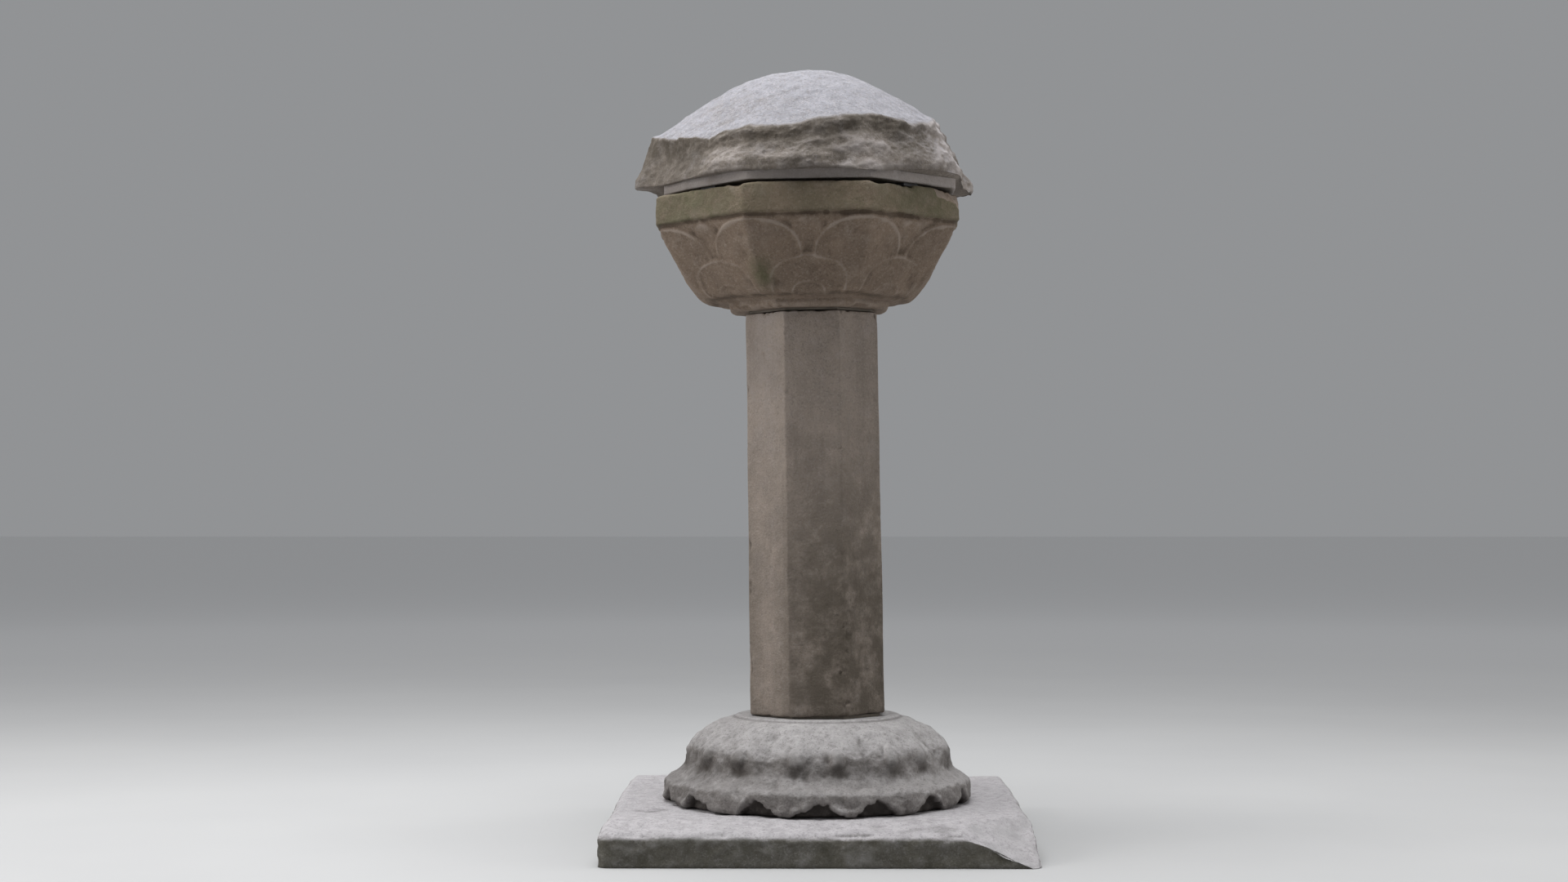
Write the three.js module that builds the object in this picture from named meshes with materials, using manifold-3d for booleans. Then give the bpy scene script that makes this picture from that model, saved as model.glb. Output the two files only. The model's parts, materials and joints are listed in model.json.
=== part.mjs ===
// A granite font of five stacked stones: a square ground slab, a round lotus base, an octagonal
// shaft, an octagonal bowl and a rough domed cover that lifts off. A lead-lined basin drains
// through a plugged bronze outlet and a lead pipe in the bored stones.
// Millimetres, +Z up, front towards -Y. The origin is on the ground at the middle of the slab.

import * as THREE from "three";
import * as BufferGeometryUtils from "three/addons/utils/BufferGeometryUtils.js";
import { ConvexGeometry } from "three/addons/geometries/ConvexGeometry.js";
import Module from "manifold-3d";

const wasm = await Module();
wasm.setup();

// Driving dimensions.
const GAP = 0.3; // between pieces that rest on each other
const ROUND = 36; // sides of a large round piece
const SMALL_ROUND = 16; // sides of a small round piece

const SLAB_WIDTH = 686;
const SLAB_HEIGHT = 64;
const SLAB_ARRIS = 5; // worn edge

const BED_THICKNESS = 4;

const BASE_HEIGHT = 140;
const BASE_RADIUS = 260;
const BASE_TOP_RADIUS = 148;
const PETALS = 8;
const BOSS_SPREAD = 9; // degrees from a petal's middle to each of its two bosses
const BOSS_RADIUS = 14;
const BOSS_REACH = 218; // from the axis to the middle of each boss
const BOSS_LEVEL = 80; // from the base's foot to the middle of each boss

const LEAN = THREE.MathUtils.degToRad(-0.9); // the column leans this much about Y, to -X
const SHAFT_WIDTH = 223; // across the flats at the foot
const SHAFT_TOP_WIDTH = 220;
const SHAFT_HEIGHT = 675;
const BORE_RADIUS = 31; // waste bore through the stones

const BOWL_HEIGHT = 190;
const FOOT_RING_WIDTH = 270; // across the flats
const FOOT_RING_HEIGHT = 15;
const RIM_WIDTH = 502;
const RIM_HEIGHT = 52;
const BASIN_RADIUS = 185;
const BASIN_FLOOR_RADIUS = 112;
const BASIN_DEPTH = 142;

const LINER_THICKNESS = 3;
const LINER_LIP = 9; // how far the lining is dressed over the rim

const PAD_RADIUS = 218; // from the axis to each packing pad
const PAD_SIZE = 34;
const PAD_HEIGHT = 5;

const SEAT_WIDTH = 488; // cover's seat band, across the flats
const SEAT_HEIGHT = 16;
const EAVE_WIDTH = 548;
const ROOF_TURN = THREE.MathUtils.degToRad(-8); // the roof's corners aren't quite over the bowl's
const EAVE_DROP = 2; // how far the eave's underside hangs below the top of the seat band
const SHOULDER_WIDTH = 494;
const SHOULDER_HEIGHT = 94; // from the eave's underside to the shoulder
const DOME_FLAT_RADIUS = 68;
const DOME_HEIGHT = 108; // from the shoulder to the top

// Where the eave has split off: azimuths and slopes from the vertical in degrees, and the distance
// from the axis at the eave's foot.
const SPLITS = [
  { azimuth: -98, distance: 262, slope: 14 },
  { azimuth: -143, distance: 251, slope: 8 },
  { azimuth: -53, distance: 262, slope: 12 },
  { azimuth: -12, distance: 262, slope: 22 },
  { azimuth: 162, distance: 257, slope: 6 },
];
const WORN_SLOPES = [ // flatter places where the front of the dome has weathered lower
  { azimuth: -98, distance: 328, slope: 50 },
  { azimuth: -135, distance: 319, slope: 50 },
];

const DOWEL_RADIUS = 8;
const DOWEL_LENGTH = 70;
const DOWEL_SPREAD = 66; // from the axis to each dowel
const DOWEL_SLACK = 2; // lead run round each dowel

const PIPE_RADIUS = 22;
const PIPE_BORE = 18;
const OUTLET_FLANGE_RADIUS = 38;
const OUTLET_FLANGE_HEIGHT = 4;
const OUTLET_RADIUS = 17;
const OUTLET_BORE = 13;
const OUTLET_LENGTH = 88; // down into the head of the pipe
const SEAT_MOUTH = 19; // radius of the outlet's tapered seat at its mouth
const SEAT_DEPTH = 9;

const PLUG_CAP_RADIUS = 22;
const PLUG_CAP_HEIGHT = 5;
const EYE_HEIGHT = 13; // from the cap's top to the middle of the eye
const EYE_HOLE_RADIUS = 4;
const EYE_OUTER_RADIUS = 8;
const EYE_THICKNESS = 5;
const RING_RADIUS = 17;
const RING_WIRE_RADIUS = 2.2;
const RING_REST = THREE.MathUtils.degToRad(27.5); // the ring lies this far below level

// Levels, measured up from the ground for the slab and the base.
const BASE_FOOT = SLAB_HEIGHT + BED_THICKNESS;
const BASE_TOP = BASE_FOOT + BASE_HEIGHT;

// Levels in the leaning column, measured up its axis from the top of the base.
const SHAFT_FOOT = BED_THICKNESS;
const SHAFT_TOP = SHAFT_FOOT + SHAFT_HEIGHT;
const BOWL_FOOT = SHAFT_TOP + BED_THICKNESS;
const RIM_TOP = BOWL_FOOT + BOWL_HEIGHT;
const BASIN_FLOOR = RIM_TOP - BASIN_DEPTH;
const FLANGE_TOP = BASIN_FLOOR + LINER_THICKNESS + 2 * GAP + OUTLET_FLANGE_HEIGHT;
const EYE_LEVEL = FLANGE_TOP + GAP + PLUG_CAP_HEIGHT + EYE_HEIGHT;
const COVER_FOOT = RIM_TOP + PAD_HEIGHT + GAP;
const EAVE_FOOT = COVER_FOOT + SEAT_HEIGHT - EAVE_DROP;

// Middles of the beds between the stones, where the dowels cross.
const SLAB_JOINT = SLAB_HEIGHT + BED_THICKNESS / 2;
const FOOT_JOINT = BED_THICKNESS / 2;
const HEAD_JOINT = SHAFT_TOP + BED_THICKNESS / 2;

// Finishes.
const granite = { color: 0x8d867c, roughness: 0.92, metalness: 0 };
const paleGranite = { color: 0xa7a6aa, roughness: 0.92, metalness: 0 };
const brownGranite = { color: 0x776c60, roughness: 0.92, metalness: 0 };
const mortar = { color: 0xa39a8a, roughness: 0.95, metalness: 0 };
const lead = { color: 0x6f7276, roughness: 0.6, metalness: 0.9 };
const bronze = { color: 0x8a6a3c, roughness: 0.4, metalness: 1 };

// --- Solid helpers ---------------------------------------------------------------------------

/** Turns a closed geometry into a solid for joining and cutting. */
function solid(geometry) {
  const bare = geometry.clone();
  bare.deleteAttribute("normal");
  bare.deleteAttribute("uv");
  const merged = BufferGeometryUtils.mergeVertices(bare);
  const corners = merged.index.array;
  const triVerts = [];
  for (let i = 0; i < corners.length; i += 3) {
    const [a, b, c] = [corners[i], corners[i + 1], corners[i + 2]];
    if (a !== b && b !== c && c !== a) {
      triVerts.push(a, b, c);
    }
  }
  const mesh = new wasm.Mesh({
    numProp: 3,
    vertProperties: new Float32Array(merged.attributes.position.array),
    triVerts: new Uint32Array(triVerts),
  });
  mesh.merge();
  return new wasm.Manifold(mesh);
}

/** Turns a solid back into a geometry. */
function geometryOf(body) {
  const mesh = body.getMesh();
  const geometry = new THREE.BufferGeometry();
  geometry.setAttribute("position", new THREE.BufferAttribute(mesh.vertProperties, 3));
  geometry.setIndex(new THREE.BufferAttribute(mesh.triVerts, 1));
  return geometry;
}

/** The first solid with all the others cut out of it. */
function cut(body, tools) {
  return tools.reduce((rest, tool) => rest.subtract(tool), body);
}

/** All the solids joined. */
function join(bodies) {
  return bodies.reduce((whole, body) => whole.add(body));
}

/** Spins an outline of [radius, height] points round the Z axis. */
function turned(outline, sides = ROUND) {
  const points = outline.map(([radius, height]) => new THREE.Vector2(radius, height));
  return new THREE.LatheGeometry(points, sides).rotateX(Math.PI / 2);
}

/** An outline that goes round a hole, spun round the Z axis. */
function turnedRing(outline, sides = ROUND) {
  return turned([...outline, outline[0]], sides);
}

/** An eight-sided stone from [half width across the flats, height] points, a flat to the front. */
function eightSided(outline) {
  const cornerRatio = 1 / Math.cos(Math.PI / 8);
  const corners = outline.map(([halfWidth, height]) => [halfWidth * cornerRatio, height]);
  return turned(corners, 8).rotateZ(Math.PI / 8);
}

/** An upright round bar or hole from one level to another. */
function upright(radius, bottom, top, sides = SMALL_ROUND) {
  const bar = new THREE.CylinderGeometry(radius, radius, top - bottom, sides);
  return bar.rotateX(Math.PI / 2).translate(0, 0, (bottom + top) / 2);
}

/** Points of a smooth curve through the given [radius, height] points. */
function smooth(points, steps) {
  const curve = new THREE.SplineCurve(points.map(([x, y]) => new THREE.Vector2(x, y)));
  return curve.getPoints(steps).map((point) => [point.x, point.y]);
}

/** A named mesh. */
function piece(name, shape, finish) {
  const geometry = shape instanceof THREE.BufferGeometry ? shape : geometryOf(shape);
  const mesh = new THREE.Mesh(geometry, new THREE.MeshStandardMaterial(finish));
  mesh.name = name;
  return mesh;
}

// --- Dowels and their sockets ----------------------------------------------------------------

/** The two dowel places across a joint, one at each side of the waste bore. */
function dowelPlaces(joint) {
  return [-1, 1].map((side) => new THREE.Vector3(side * DOWEL_SPREAD, 0, joint));
}

/** The sockets that a stone needs for the dowels across a joint at this level. */
function dowelSockets(joint) {
  const half = DOWEL_LENGTH / 2 + DOWEL_SLACK;
  return dowelPlaces(joint).map(({ x, y, z }) =>
    solid(upright(DOWEL_RADIUS + DOWEL_SLACK, z - half, z + half).translate(x, y, 0)));
}

/** A pair of dowels across a joint. */
function dowels(name, joint) {
  const half = DOWEL_LENGTH / 2;
  return dowelPlaces(joint).map(({ x, y, z }, index) =>
    piece(`${name}_${index + 1}`, upright(DOWEL_RADIUS, z - half, z + half).translate(x, y, 0), bronze));
}

// --- Ground slab -----------------------------------------------------------------------------

/** A square slab, its front right corner split off along a slope and its front left one worn. */
function groundSlab() {
  const half = SLAB_WIDTH / 2 - SLAB_ARRIS;
  const wornCorner = 20;
  const outline = new THREE.Shape();
  outline.moveTo(half, half);
  outline.lineTo(-half, half);
  outline.lineTo(-half, -half + wornCorner);
  outline.quadraticCurveTo(-half, -half, -half + wornCorner, -half);
  outline.lineTo(half, -half);
  const block = new THREE.ExtrudeGeometry(outline, {
    depth: SLAB_HEIGHT - 2 * SLAB_ARRIS,
    bevelThickness: SLAB_ARRIS,
    bevelSize: SLAB_ARRIS,
    bevelSegments: 2,
    curveSegments: 4,
  }).translate(0, 0, SLAB_ARRIS);

  const edge = SLAB_WIDTH / 2;
  const spall = new ConvexGeometry([
    new THREE.Vector3(200, -edge, SLAB_HEIGHT),
    new THREE.Vector3(edge - 8, -edge - 1, 4),
    new THREE.Vector3(edge + 1, -edge + 160, SLAB_HEIGHT),
    new THREE.Vector3(edge + 120, -edge - 120, 2.3 * SLAB_HEIGHT),
  ]);

  const bore = upright(BORE_RADIUS + 6, -1, SLAB_HEIGHT + 1, ROUND / 2);
  const tools = [solid(spall), solid(bore), ...dowelSockets(SLAB_JOINT)];
  return piece("ground_slab", cut(solid(block), tools), paleGranite);
}

// --- Lotus base ------------------------------------------------------------------------------

/** How far the petals stand out at this angle, from -1 in a furrow to 1 on a petal's middle. */
function petalSwell(angle) {
  return Math.cos(PETALS * angle);
}

/** The domed and flared body, furrowed between the petals. */
function lotusBody() {
  const shoulder = smooth([[BASE_TOP_RADIUS, 135], [192, 119], [219, 90], [228, 63]], 6);
  const flare = smooth([[228, 63], [238, 48], [BASE_RADIUS, 32]], 3);
  const ring = BASE_TOP_RADIUS - 8;
  const outline = [[0, BASE_HEIGHT], [ring, BASE_HEIGHT], [ring, 136], ...shoulder,
    ...flare.slice(1), [BASE_RADIUS, 12], [BASE_RADIUS - 12, 0], [0, 0]];
  const body = turned(outline.reverse(), 2 * ROUND);
  const furrowDepth = 4;
  const place = body.attributes.position;
  for (let i = 0; i < place.count; i++) {
    const [x, y, z] = [place.getX(i), place.getY(i), place.getZ(i)];
    const radius = Math.hypot(x, y);
    if (radius > BASE_TOP_RADIUS + 1) {
      const swell = 1 + (furrowDepth * (petalSwell(Math.atan2(y, x)) - 1)) / 2 / radius;
      place.setXYZ(i, x * swell, y * swell, z);
    }
  }
  return solid(body);
}

/** The small arched hollows under the petals' turned-up edge. */
function petalArches() {
  const arches = [];
  const count = 2 * PETALS;
  for (let i = 0; i < count; i++) {
    const arch = new THREE.CylinderGeometry(20, 26, 60, 8)
      .rotateZ(-Math.PI / 2)
      .scale(1, 1, 0.9)
      .translate(BASE_RADIUS + 8, 0, 0)
      .rotateZ((i * 2 * Math.PI) / count);
    arches.push(solid(arch));
  }
  return arches;
}

/** Two round bosses on each petal. */
function petalBosses() {
  const bosses = [];
  for (let i = 0; i < 2 * PETALS; i++) {
    const petal = Math.floor(i / 2) * (360 / PETALS);
    const angle = THREE.MathUtils.degToRad(petal + (i % 2 === 0 ? -BOSS_SPREAD : BOSS_SPREAD));
    const boss = new THREE.SphereGeometry(BOSS_RADIUS, 8, 6);
    bosses.push(solid(boss.translate(BOSS_REACH, 0, BOSS_LEVEL).rotateZ(angle)));
  }
  return bosses;
}

function lotusBase() {
  const carved = cut(join([lotusBody(), ...petalBosses()]), petalArches());
  const bore = solid(upright(BORE_RADIUS + 3, -1, BASE_HEIGHT + 1, ROUND / 2));
  const half = BED_THICKNESS / 2;
  const sockets = [...dowelSockets(-half), ...dowelSockets(BASE_HEIGHT + half)];
  const base = piece("lotus_base", cut(carved, [bore, ...sockets]), paleGranite);
  base.position.z = BASE_FOOT;
  return base;
}

/** The mortar bed under the base, held back from the petals' edge. */
function slabBed() {
  const [bottom, top] = [SLAB_HEIGHT + GAP, BASE_FOOT - GAP];
  const disc = solid(upright(214, bottom, top, ROUND));
  const bore = solid(upright(BORE_RADIUS + 6, 0, 2 * top, ROUND / 2));
  return piece("slab_bed", cut(disc, [bore, ...dowelSockets(SLAB_JOINT)]), mortar);
}

// --- Shaft -----------------------------------------------------------------------------------

function shaft() {
  const [foot, head] = [SHAFT_WIDTH / 2, SHAFT_TOP_WIDTH / 2];
  const worn = 3;
  const block = eightSided([[0, SHAFT_FOOT], [foot - worn, SHAFT_FOOT], [foot, SHAFT_FOOT + worn],
    [head, SHAFT_TOP - worn], [head - worn, SHAFT_TOP], [0, SHAFT_TOP]]);
  const bore = solid(upright(BORE_RADIUS, 0, SHAFT_TOP + 1, ROUND / 2));
  const sockets = [...dowelSockets(FOOT_JOINT), ...dowelSockets(HEAD_JOINT)];
  return piece("shaft", cut(solid(block), [bore, ...sockets]), granite);
}

/** An octagonal bed between two stones, with the bore and the dowels through it. */
function bed(name, width, bottom, top, joint, finish) {
  const sheet = solid(eightSided([[0, bottom], [width / 2, bottom], [width / 2, top], [0, top]]));
  const bore = solid(upright(BORE_RADIUS, bottom - 1, top + 1, ROUND / 2));
  return piece(name, cut(sheet, [bore, ...dowelSockets(joint)]), finish);
}

/** The bed under the shaft, which takes up the column's lean as a thin wedge. */
function shaftFootBed() {
  const width = SHAFT_WIDTH - 14;
  const foot = bed("shaft_foot_bed", width, GAP, SHAFT_FOOT - GAP, FOOT_JOINT, mortar);
  const place = foot.geometry.attributes.position;
  const middle = SHAFT_FOOT / 2;
  for (let i = 0; i < place.count; i++) {
    if (place.getZ(i) < middle) {
      place.setZ(i, place.getZ(i) + place.getX(i) * Math.tan(LEAN));
    }
  }
  return foot;
}

// --- Bowl and basin --------------------------------------------------------------------------

/** An outline's points moved square to it, to the left of the way it runs. */
function shifted(points, distance) {
  return points.map(([x, y], i) => {
    const [x0, y0] = points[Math.max(i - 1, 0)];
    const [x1, y1] = points[Math.min(i + 1, points.length - 1)];
    const length = Math.hypot(x1 - x0, y1 - y0);
    return [x - ((y1 - y0) / length) * distance, y + ((x1 - x0) / length) * distance];
  });
}

/** The basin's side from the edge of its flat floor to its mouth, cut in the stone. */
function basinSide() {
  const knee = [[BASIN_FLOOR_RADIUS, 0], [148, 15], [170, 64], [BASIN_RADIUS, BASIN_DEPTH]];
  return smooth(knee, 7).map(([radius, height]) => [radius, height + BASIN_FLOOR]);
}

/** The hollow for the basin, with the rebate at its mouth for the lining's lip. */
function basinHollow() {
  const lip = BASIN_RADIUS + LINER_LIP;
  const rebate = RIM_TOP - LINER_THICKNESS - 2 * GAP;
  const above = RIM_TOP + 1;
  return turned([[0, BASIN_FLOOR], ...basinSide().slice(0, -1), [BASIN_RADIUS, rebate],
    [lip, rebate], [lip, above], [0, above]]);
}

function bowl() {
  const ring = FOOT_RING_WIDTH / 2;
  const rim = RIM_WIDTH / 2;
  const bodyFoot = BOWL_FOOT + FOOT_RING_HEIGHT;
  const rimFoot = RIM_TOP - RIM_HEIGHT;
  const belly = smooth([[151, bodyFoot], [183, bodyFoot + 13], [217, bodyFoot + 66], [247, rimFoot]], 10);
  const worn = 5;
  const block = eightSided([[0, BOWL_FOOT], [ring - worn, BOWL_FOOT], [ring, BOWL_FOOT + worn],
    [ring, bodyFoot], ...belly, [rim, rimFoot + 1], [rim, RIM_TOP - worn], [rim - worn, RIM_TOP],
    [0, RIM_TOP]]);
  const bore = solid(upright(OUTLET_RADIUS + 2, BOWL_FOOT - 1, RIM_TOP));
  const tools = [solid(basinHollow()), bore, ...dowelSockets(HEAD_JOINT)];
  return piece("bowl", cut(solid(block), tools), brownGranite);
}

/** The lead lining, dressed down the basin's side and over its lip, with a hole for the outlet. */
function basinLiner() {
  const hole = OUTLET_RADIUS + GAP;
  const side = [[hole, BASIN_FLOOR], ...basinSide().slice(0, -1)];
  const outside = shifted(side, GAP);
  const inside = shifted(side, GAP + LINER_THICKNESS).reverse();
  const [lip, top] = [BASIN_RADIUS + LINER_LIP - GAP, RIM_TOP - GAP];
  const mouth = BASIN_RADIUS - GAP;
  const outline = [...outside, [mouth, top - LINER_THICKNESS], [lip, top - LINER_THICKNESS],
    [lip, top], [mouth - LINER_THICKNESS, top], ...inside];
  return piece("basin_liner", turnedRing(outline, ROUND), lead);
}

// --- Waste -----------------------------------------------------------------------------------

/** The flanged outlet, with a tapered seat for the plug in its mouth. */
function wasteOutlet() {
  const flangeFoot = FLANGE_TOP - OUTLET_FLANGE_HEIGHT;
  const bottom = flangeFoot - OUTLET_LENGTH;
  const outline = [[OUTLET_BORE, bottom], [OUTLET_RADIUS, bottom], [OUTLET_RADIUS, flangeFoot],
    [OUTLET_FLANGE_RADIUS, flangeFoot], [OUTLET_FLANGE_RADIUS, FLANGE_TOP - 1],
    [OUTLET_FLANGE_RADIUS - 1, FLANGE_TOP], [SEAT_MOUTH, FLANGE_TOP],
    [OUTLET_BORE, FLANGE_TOP - SEAT_DEPTH]];
  return piece("waste_outlet", turnedRing(outline, SMALL_ROUND), bronze);
}

/** The tapered plug with a cap and an upright eye for its ring. */
function wastePlug() {
  const slack = 0.6;
  const stem = OUTLET_BORE - slack;
  const capFoot = FLANGE_TOP + GAP;
  const capTop = capFoot + PLUG_CAP_HEIGHT;
  const body = turned([[0, FLANGE_TOP - 15], [stem - 2, FLANGE_TOP - 15], [stem, FLANGE_TOP - 13],
    [stem, FLANGE_TOP - SEAT_DEPTH], [SEAT_MOUTH - slack, capFoot], [PLUG_CAP_RADIUS, capFoot],
    [PLUG_CAP_RADIUS, capTop - 2], [PLUG_CAP_RADIUS - 3, capTop], [0, capTop]], SMALL_ROUND);

  const cheek = new THREE.Shape();
  cheek.moveTo(-EYE_OUTER_RADIUS, -EYE_HEIGHT - 1);
  cheek.lineTo(EYE_OUTER_RADIUS, -EYE_HEIGHT - 1);
  cheek.absarc(0, 0, EYE_OUTER_RADIUS, 0, Math.PI);
  const hole = new THREE.Path().absarc(0, 0, EYE_HOLE_RADIUS, 0, 2 * Math.PI);
  cheek.holes.push(hole);
  const eye = new THREE.ExtrudeGeometry(cheek, { depth: EYE_THICKNESS, bevelEnabled: false, curveSegments: 8 })
    .rotateX(Math.PI / 2)
    .translate(0, EYE_THICKNESS / 2, EYE_LEVEL);
  return piece("waste_plug", join([solid(body), solid(eye)]), bronze);
}

/** The lifting ring, hung through the plug's eye and lying over towards +X. */
function plugRing() {
  const ring = new THREE.TorusGeometry(RING_RADIUS, RING_WIRE_RADIUS, 8, SMALL_ROUND + 8)
    .translate(RING_RADIUS, 0, 0)
    .rotateY(RING_REST)
    .translate(0, 0, EYE_LEVEL);
  return piece("plug_ring", ring, bronze);
}

/** The lead pipe from the outlet down the bored stones, open just above the ground. */
function wastePipe() {
  const clearOfGround = 12;
  const [bottom, top] = [clearOfGround - BASE_TOP, BOWL_FOOT - 1];
  const outline = [[PIPE_BORE, bottom], [PIPE_RADIUS, bottom], [PIPE_RADIUS, top], [PIPE_BORE, top]];
  return piece("waste_pipe", turnedRing(outline, SMALL_ROUND), lead);
}

// --- Cover -----------------------------------------------------------------------------------

/** One of the lead pads that hold the cover off the rim and leave the joint under it open. */
function coverPad(index) {
  const angle = ((2 * index + 1) * Math.PI) / 4;
  const pad = new THREE.BoxGeometry(PAD_SIZE, PAD_SIZE, PAD_HEIGHT - GAP)
    .translate(PAD_RADIUS, 0, RIM_TOP + (PAD_HEIGHT + GAP) / 2)
    .rotateZ(angle);
  return piece(`cover_pad_${index + 1}`, pad, lead);
}

/** What has gone outside a slope, which would meet the eave's foot this far from the axis. */
function breakage({ azimuth, distance, slope }) {
  const size = 400;
  const waste = new THREE.BoxGeometry(size, 2 * size, 2 * size)
    .translate(size / 2, 0, 0)
    .rotateY(THREE.MathUtils.degToRad(-slope))
    .translate(distance, 0, EAVE_FOOT)
    .rotateZ(THREE.MathUtils.degToRad(azimuth));
  return solid(waste);
}

/** The roof-like cover: a flat seat, a dome, and an eave left whole only at its back. */
function coverStone() {
  const shoulder = EAVE_FOOT + SHOULDER_HEIGHT;
  const top = shoulder + DOME_HEIGHT;
  const [eave, neck] = [EAVE_WIDTH / 2, SHOULDER_WIDTH / 2];
  const dome = smooth([[neck, shoulder], [150, shoulder + 62], [DOME_FLAT_RADIUS, top - 8], [0, top]], 8);
  const roof = eightSided([[0, EAVE_FOOT], [eave - 8, EAVE_FOOT], [eave, EAVE_FOOT + 8], ...dome])
    .rotateZ(ROOF_TURN);
  const seat = eightSided([[0, COVER_FOOT], [SEAT_WIDTH / 2, COVER_FOOT],
    [SEAT_WIDTH / 2, EAVE_FOOT + EAVE_DROP], [0, EAVE_FOOT + EAVE_DROP]]);
  const broken = cut(solid(roof), [...SPLITS, ...WORN_SLOPES].map(breakage));
  return piece("cover_stone", broken.add(solid(seat)), paleGranite);
}

// --- Assembly --------------------------------------------------------------------------------

/** The stones above the base, which lean together by less than a degree. */
function leaningColumn() {
  const column = new THREE.Group();
  column.position.z = BASE_TOP;
  column.rotation.y = LEAN;
  column.add(shaftFootBed(), ...dowels("foot_dowel", FOOT_JOINT), shaft());
  column.add(bed("shaft_head_bed", SHAFT_TOP_WIDTH - 10, SHAFT_TOP + GAP, BOWL_FOOT - GAP, HEAD_JOINT, mortar));
  column.add(...dowels("head_dowel", HEAD_JOINT), bowl(), basinLiner());
  column.add(wasteOutlet(), wastePlug(), plugRing(), wastePipe());
  column.add(...[0, 1, 2, 3].map(coverPad), coverStone());
  return column;
}

const font = new THREE.Group();
font.add(groundSlab(), slabBed(), ...dowels("slab_dowel", SLAB_JOINT), lotusBase(), leaningColumn());

export default font;
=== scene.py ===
"""A weathered granite font: square slab, lotus base, octagonal shaft, lotus bowl, broken cover.

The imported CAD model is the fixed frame. The five stones are rebuilt here as dense carved and worn
surfaces in the places the CAD gives them, and the beds, lead and bronze keep their CAD shapes.
Lengths are metres. Bearings are measured round the axis from the front (-Y) towards +X.
"""

import json
import math
from types import SimpleNamespace

import bpy
import numpy as np
from mathutils import Matrix, Vector


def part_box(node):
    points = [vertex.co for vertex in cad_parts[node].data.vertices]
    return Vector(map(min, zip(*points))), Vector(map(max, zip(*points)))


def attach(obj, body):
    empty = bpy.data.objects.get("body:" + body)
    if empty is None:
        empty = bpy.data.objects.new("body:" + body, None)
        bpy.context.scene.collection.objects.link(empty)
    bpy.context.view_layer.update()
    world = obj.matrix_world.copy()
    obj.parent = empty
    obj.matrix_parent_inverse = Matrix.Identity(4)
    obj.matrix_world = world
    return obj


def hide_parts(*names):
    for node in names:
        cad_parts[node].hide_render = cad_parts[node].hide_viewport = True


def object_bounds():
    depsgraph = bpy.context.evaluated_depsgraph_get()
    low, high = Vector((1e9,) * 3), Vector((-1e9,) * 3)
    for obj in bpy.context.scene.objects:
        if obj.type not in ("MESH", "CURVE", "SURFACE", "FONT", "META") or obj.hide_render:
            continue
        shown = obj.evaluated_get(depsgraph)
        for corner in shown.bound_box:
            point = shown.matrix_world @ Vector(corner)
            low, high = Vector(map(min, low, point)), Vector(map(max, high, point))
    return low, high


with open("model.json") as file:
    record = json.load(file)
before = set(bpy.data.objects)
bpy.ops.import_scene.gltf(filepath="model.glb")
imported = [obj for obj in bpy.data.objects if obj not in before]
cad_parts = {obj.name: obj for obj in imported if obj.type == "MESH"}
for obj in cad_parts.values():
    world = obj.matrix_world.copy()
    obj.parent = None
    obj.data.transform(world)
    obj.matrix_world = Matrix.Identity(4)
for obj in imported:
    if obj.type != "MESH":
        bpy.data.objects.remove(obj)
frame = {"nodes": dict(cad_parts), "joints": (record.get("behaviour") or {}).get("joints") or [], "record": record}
cad_low, cad_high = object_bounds()

MM = 0.001
DEGREE = math.pi / 180
STEP = 2.3 * MM  # spacing of the points on a surface that is seen
HIDDEN_STEP = 14 * MM  # spacing where the surface is inside the object
COLUMNS = 720  # points round a stone
FACETS = 8
HALF_FACET = math.pi / FACETS  # from the middle of a face to the corner beside it


# --- The frame: where the CAD has each stone --------------------------------------------------

def lean_of_column():
    """The turn that tips the stones above the base over, about the middle of the base's top."""
    lift = next(joint for joint in frame["joints"] if joint["name"] == "cover_lift")
    turn = Vector((0, 0, 1)).rotation_difference(Vector(lift["axis"])).to_matrix().to_4x4()
    pivot = Matrix.Translation((0, 0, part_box("lotus_base")[1].z))
    return pivot @ turn @ pivot.inverted()


LEAN = lean_of_column()
UPRIGHT = Matrix.Identity(4)


def upright_box(node):
    """A CAD node's lowest and highest corners with the column stood upright again."""
    back = LEAN.inverted()
    corners = np.array([back @ vertex.co for vertex in frame["nodes"][node].data.vertices])
    return Vector(corners.min(axis=0)), Vector(corners.max(axis=0))


# --- Noise ------------------------------------------------------------------------------------

def scrambled(cell, salt):
    """A number from -1 to 1 for each whole-number cell, the same on every run."""
    word = 0xFFFFFFFF
    mixed = (cell[..., 0] * 73856093) ^ (cell[..., 1] * 19349663) ^ (cell[..., 2] * 83492791)
    mixed = (mixed ^ (salt * 2654435761)) & word
    mixed = ((mixed ^ (mixed >> 15)) * 73244475) & word
    mixed = ((mixed ^ (mixed >> 13)) * 73244475) & word
    return ((mixed ^ (mixed >> 16)) & 0xFFFFFF) / 0x7FFFFF - 1


def lumps(points, size, salt):
    """Smooth noise of about -1 to 1 with lumps of this size: random slopes, eased together.

    The salt is any whole number, and gives each use of the noise a pattern of its own.
    """
    place = points / size
    cell = np.floor(place).astype(np.int64)
    part = place - cell
    ease = part**3 * (part * (part * 6 - 15) + 10)
    total = 0
    for corner in np.ndindex(2, 2, 2):
        weight = np.prod(np.where(corner, ease, 1 - ease), axis=-1)
        away = part - corner
        slope = sum(scrambled(cell + corner, 3 * salt + k) * away[..., k] for k in range(3))
        total = total + weight * slope
    return 1.6 * total


def rough(points, size, salt, octaves=4, fade=0.5):
    """Noise with ever finer lumps added, each layer fainter than the one before."""
    return sum(fade**k * lumps(points, size / 2.03**k, salt + 17 * k) for k in range(octaves))


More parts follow.
